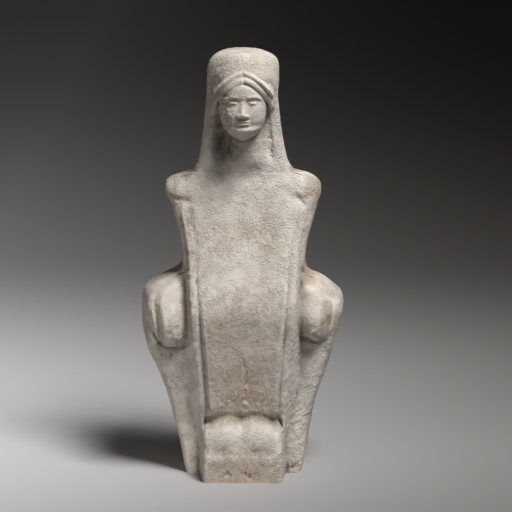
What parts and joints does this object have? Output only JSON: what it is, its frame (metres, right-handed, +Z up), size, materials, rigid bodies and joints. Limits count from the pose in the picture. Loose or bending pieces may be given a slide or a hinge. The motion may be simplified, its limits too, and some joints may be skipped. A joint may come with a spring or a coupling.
{
  "type": "seated female figurine",
  "caption": "Mould-made terracotta figurine of a woman seated on a throne, with a tall flat hat, a veil, cushion-like arm ends and feet on a footstool.",
  "frame": {"origin": "centre of the footprint, on the flat underside", "axes": "+Z up along the figure, -Y the way the figure faces, +X towards the right hand of someone who faces it"},
  "size_m": [0.1104, 0.061, 0.2286],
  "materials": {
    "terracotta": "dry, unglazed pale buff clay with worn traces of white slip"
  },
  "bodies": {
    "root": {"seated_figurine": "terracotta"}
  },
  "joints": []
}
